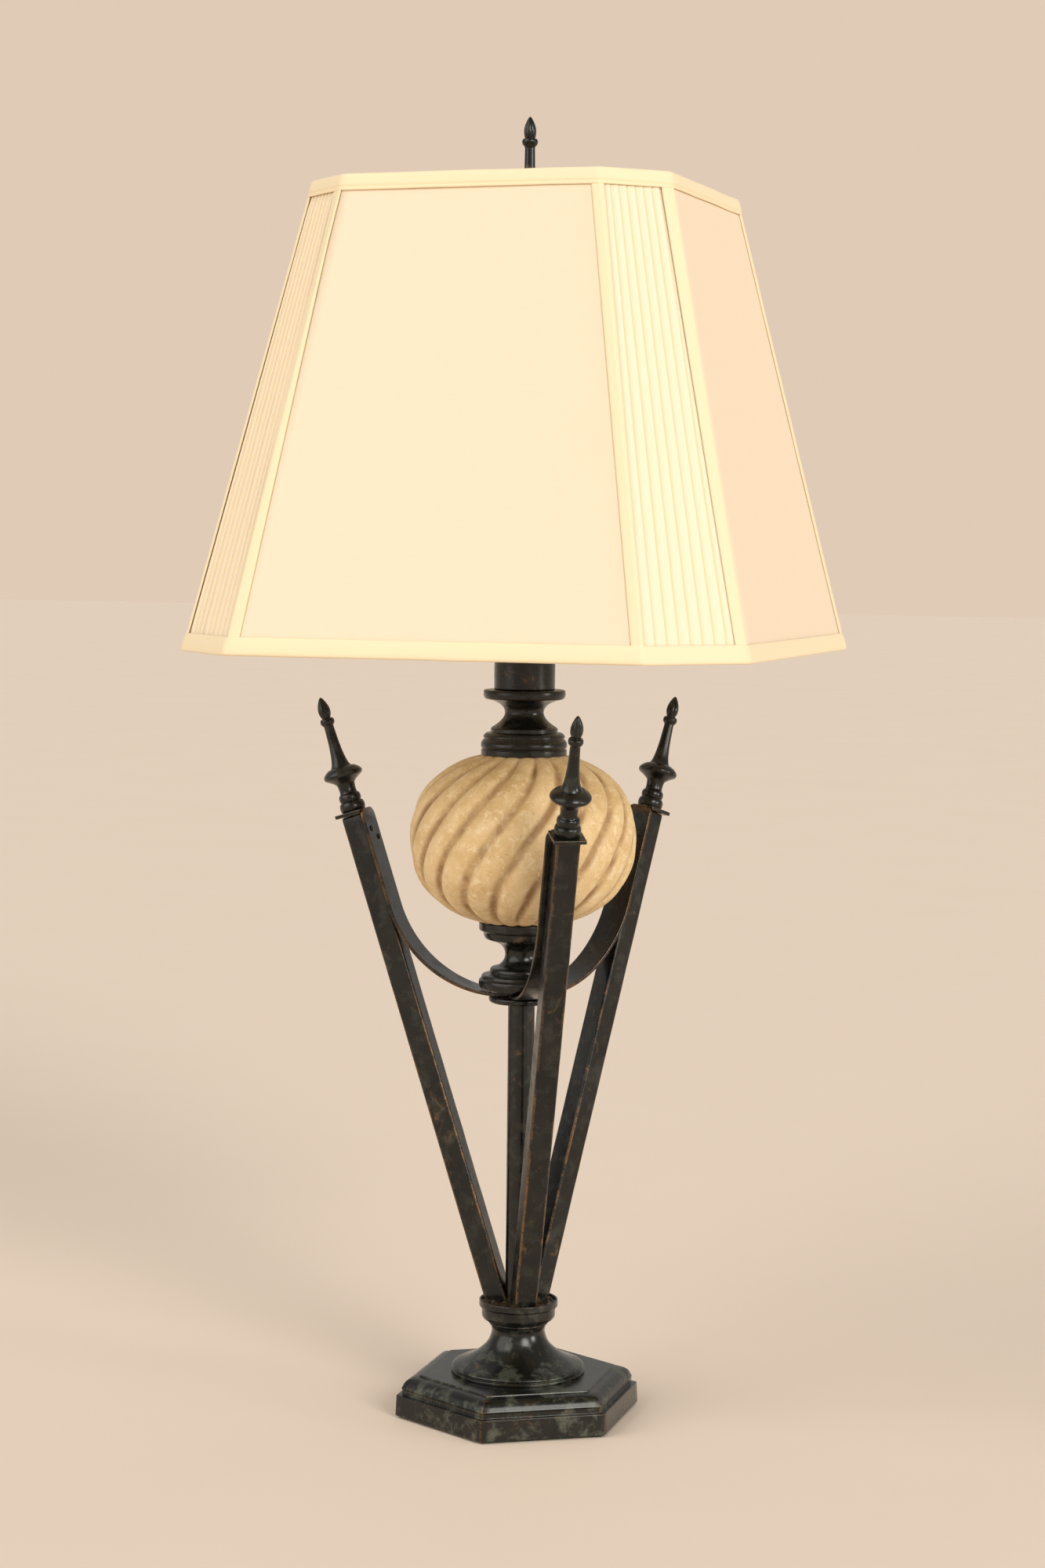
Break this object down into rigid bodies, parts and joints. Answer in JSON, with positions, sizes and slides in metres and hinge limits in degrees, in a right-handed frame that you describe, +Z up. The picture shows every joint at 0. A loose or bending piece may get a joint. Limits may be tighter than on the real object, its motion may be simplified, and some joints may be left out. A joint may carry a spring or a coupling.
{
  "type": "tripod table lamp",
  "caption": "Tall table lamp: swirled stone orb slung in straps between raking square arms on a hexagonal base, under a square cut-corner shade with pleated corners on a harp.",
  "frame": {"origin": "on the lamp's axis at its underside", "axes": "+Z up along the stem; -Y towards the shade's front panel; +X to that panel's right"},
  "size_m": [0.531, 0.531, 1.22],
  "materials": {
    "bronze": "dark bronze patina rubbed through on the edges, satin",
    "iron": "bare casting",
    "steel": "zinc plated",
    "brass": "satin",
    "stone": "honed, lightly pitted, waxed",
    "felt": "felt",
    "porcelain": "unglazed",
    "glass": "frosted",
    "silk": "lined silk, flat and knife pleated",
    "white_wire": "white coated wire",
    "black": "moulded"
  },
  "bodies": {
    "stand": {"arm_1": "bronze", "arm_2": "bronze", "arm_3": "bronze", "arm_cup": "bronze", "arm_finial_1": "bronze", "arm_finial_2": "bronze", "arm_finial_3": "bronze", "arm_plate_1": "bronze", "arm_plate_2": "bronze", "arm_plate_3": "bronze", "base_plinth": "bronze", "centre_column": "bronze", "neck_cover": "bronze", "neck_lid": "bronze", "orb_collar": "bronze", "orb_seat": "bronze", "pedestal": "bronze", "rivet_a_1": "bronze", "rivet_a_2": "bronze", "rivet_a_3": "bronze", "rivet_b_1": "bronze", "rivet_b_2": "bronze", "rivet_b_3": "bronze", "strap_1": "bronze", "strap_2": "bronze", "strap_3": "bronze", "strap_disc": "bronze", "base_weight": "iron", "base_lock_nut": "steel", "base_washer": "steel", "centre_rod": "steel", "harp": "brass", "harp_saddle": "brass", "harp_stud": "brass", "rod_top_nut": "brass", "socket_cap": "brass", "socket_shell": "brass", "orb": "stone", "base_felt": "felt", "socket_core": "porcelain", "cord_bushing": "black"},
    "shade": {"shade_frame": "white_wire", "shade_spider": "white_wire", "flat_panel_front": "silk", "flat_panel_right": "silk", "flat_panel_back": "silk", "flat_panel_left": "silk", "pleated_corner_front_left": "silk", "pleated_corner_front_right": "silk", "pleated_corner_back_left": "silk", "pleated_corner_back_right": "silk", "trim_bottom": "silk", "trim_top": "silk"},
    "top_finial": {"top_finial": "bronze"},
    "switch_knob": {"switch_knob": "black"},
    "bulb": {"bulb_cap": "brass", "bulb_glass": "glass"},
    "sleeve_left": {"harp_sleeve_left": "brass"},
    "sleeve_right": {"harp_sleeve_right": "brass"}
  },
  "joints": [
    {"name": "shade_swivel", "type": "hinge", "parent": "stand", "child": "shade", "pos_m": [0, 0, 1.14], "axis": [0, 0, 1], "continuous": true},
    {"name": "finial_turn", "type": "hinge", "parent": "stand", "child": "top_finial", "pos_m": [0, 0, 1.15], "axis": [0, 0, 1], "continuous": true},
    {"name": "switch_turn", "type": "hinge", "parent": "stand", "child": "switch_knob", "pos_m": [0, -0.03, 0.845], "axis": [0, -1, 0], "continuous": true},
    {"name": "bulb_turn", "type": "hinge", "parent": "stand", "child": "bulb", "pos_m": [0, 0, 0.872], "axis": [0, 0, 1], "continuous": true},
    {"name": "sleeve_left_lift", "type": "slide", "parent": "stand", "child": "sleeve_left", "axis": [0, 0, 1], "range_m": [0, 0.012]},
    {"name": "sleeve_right_lift", "type": "slide", "parent": "stand", "child": "sleeve_right", "axis": [0, 0, 1], "range_m": [0, 0.012]}
  ]
}
